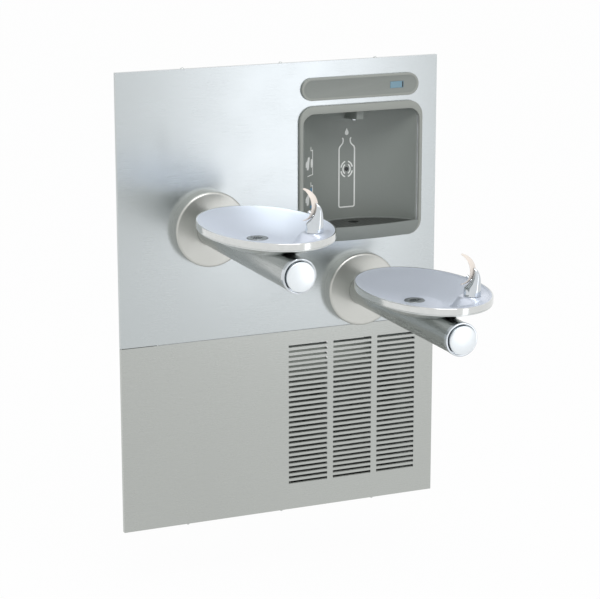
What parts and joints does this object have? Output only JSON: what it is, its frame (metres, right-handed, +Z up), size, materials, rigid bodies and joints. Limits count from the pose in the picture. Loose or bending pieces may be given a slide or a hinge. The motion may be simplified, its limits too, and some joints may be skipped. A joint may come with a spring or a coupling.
{
  "type": "bottle filling station",
  "caption": "In-wall refrigerated drinking fountain with a high and a low oval bowl, push-button bubblers and a bottle filling alcove, over a louvred chiller panel.",
  "frame": {"origin": "middle of the wall bolt pattern, in the plane of the finished wall", "axes": "+X to the right as seen from the front, +Y back into the wall, +Z up"},
  "size_m": [0.93, 0.932, 1.264],
  "materials": {
    "panel_steel": "brushed, satin",
    "bowl_steel": "satin bowl with a polished rim",
    "trim_steel": "satin",
    "galvanised": "zinc coated",
    "chrome": "polished",
    "grey_plastic": "fine grain",
    "pale_plastic": "fine grain",
    "dark_plastic": "matt",
    "sensor_lens": "gloss",
    "cream_plastic": "soft gloss",
    "display": "clear gloss over a blue display",
    "board": "solder mask",
    "white_plastic": "plain",
    "brass": "machined",
    "copper": "drawn copper tube",
    "fin_aluminium": "mill finish",
    "black_paint": "satin black",
    "blue_paint": "gloss"
  },
  "bodies": {
    "root": {"left_upright": "galvanised", "right_upright": "galvanised", "top_rail": "galvanised", "base_shelf": "galvanised", "seam_rail": "galvanised", "alcove_rail": "galvanised", "left_carrier": "galvanised", "right_carrier": "galvanised", "upper_panel": "panel_steel", "lower_panel": "panel_steel", "panel_screws": "trim_steel", "alcove_shell": "grey_plastic", "alcove_bezel": "pale_plastic", "drip_tray": "grey_plastic", "tray_grid": "dark_plastic", "nozzle_hood": "grey_plastic", "nozzle_outlet": "chrome", "sensor_window": "sensor_lens", "control_fascia": "pale_plastic", "display_window": "display", "control_board": "board", "filler_valve": "white_plastic", "left_wall_plate": "trim_steel", "left_arm": "trim_steel", "left_underpan": "trim_steel", "left_basin": "bowl_steel", "left_strainer": "bowl_steel", "left_bubbler": "chrome", "left_mouth_guard": "cream_plastic", "left_jet": "chrome", "left_collar": "chrome", "left_button_spring": "galvanised", "left_valve": "brass", "right_wall_plate": "trim_steel", "right_arm": "trim_steel", "right_underpan": "trim_steel", "right_basin": "bowl_steel", "right_strainer": "bowl_steel", "right_bubbler": "chrome", "right_mouth_guard": "cream_plastic", "right_jet": "chrome", "right_collar": "chrome", "right_button_spring": "galvanised", "right_valve": "brass", "arm_bolts": "galvanised", "water_tubes": "white_plastic", "waste_pipes": "white_plastic", "compressor": "black_paint", "condenser": "fin_aluminium", "fan_shroud": "dark_plastic", "fan_motor": "dark_plastic", "cooling_tank": "white_plastic", "refrigerant_lines": "copper", "filter_head": "white_plastic", "stop_valve": "brass"},
    "left_button": {"left_button": "chrome"},
    "right_button": {"right_button": "chrome"},
    "fan": {"fan_blade": "dark_plastic"},
    "cartridge": {"filter_cartridge": "white_plastic"},
    "lever": {"stop_valve_lever": "blue_paint"}
  },
  "joints": [
    {"name": "left_button_press", "type": "slide", "parent": "root", "child": "left_button", "axis": [0, 1, 0], "range_m": [0, 0.005], "stiffness_N_per_m": 1500, "springref_m": -0.003, "deforming": ["left_button_spring"]},
    {"name": "right_button_press", "type": "slide", "parent": "root", "child": "right_button", "axis": [0, 1, 0], "range_m": [0, 0.005], "stiffness_N_per_m": 1500, "springref_m": -0.003, "deforming": ["right_button_spring"]},
    {"name": "fan_spin", "type": "hinge", "parent": "root", "child": "fan", "pos_m": [0.2145, 0.096, -0.412], "axis": [0, 1, 0], "continuous": true},
    {"name": "filter_twist", "type": "hinge", "parent": "root", "child": "cartridge", "pos_m": [-0.299, 0.1, 0.33], "axis": [0, 0, 1], "range_deg": [0, 90]},
    {"name": "stop_valve_turn", "type": "hinge", "parent": "root", "child": "lever", "pos_m": [-0.314, 0.23, -0.036], "axis": [0, 0, 1], "range_deg": [0, 90]}
  ]
}
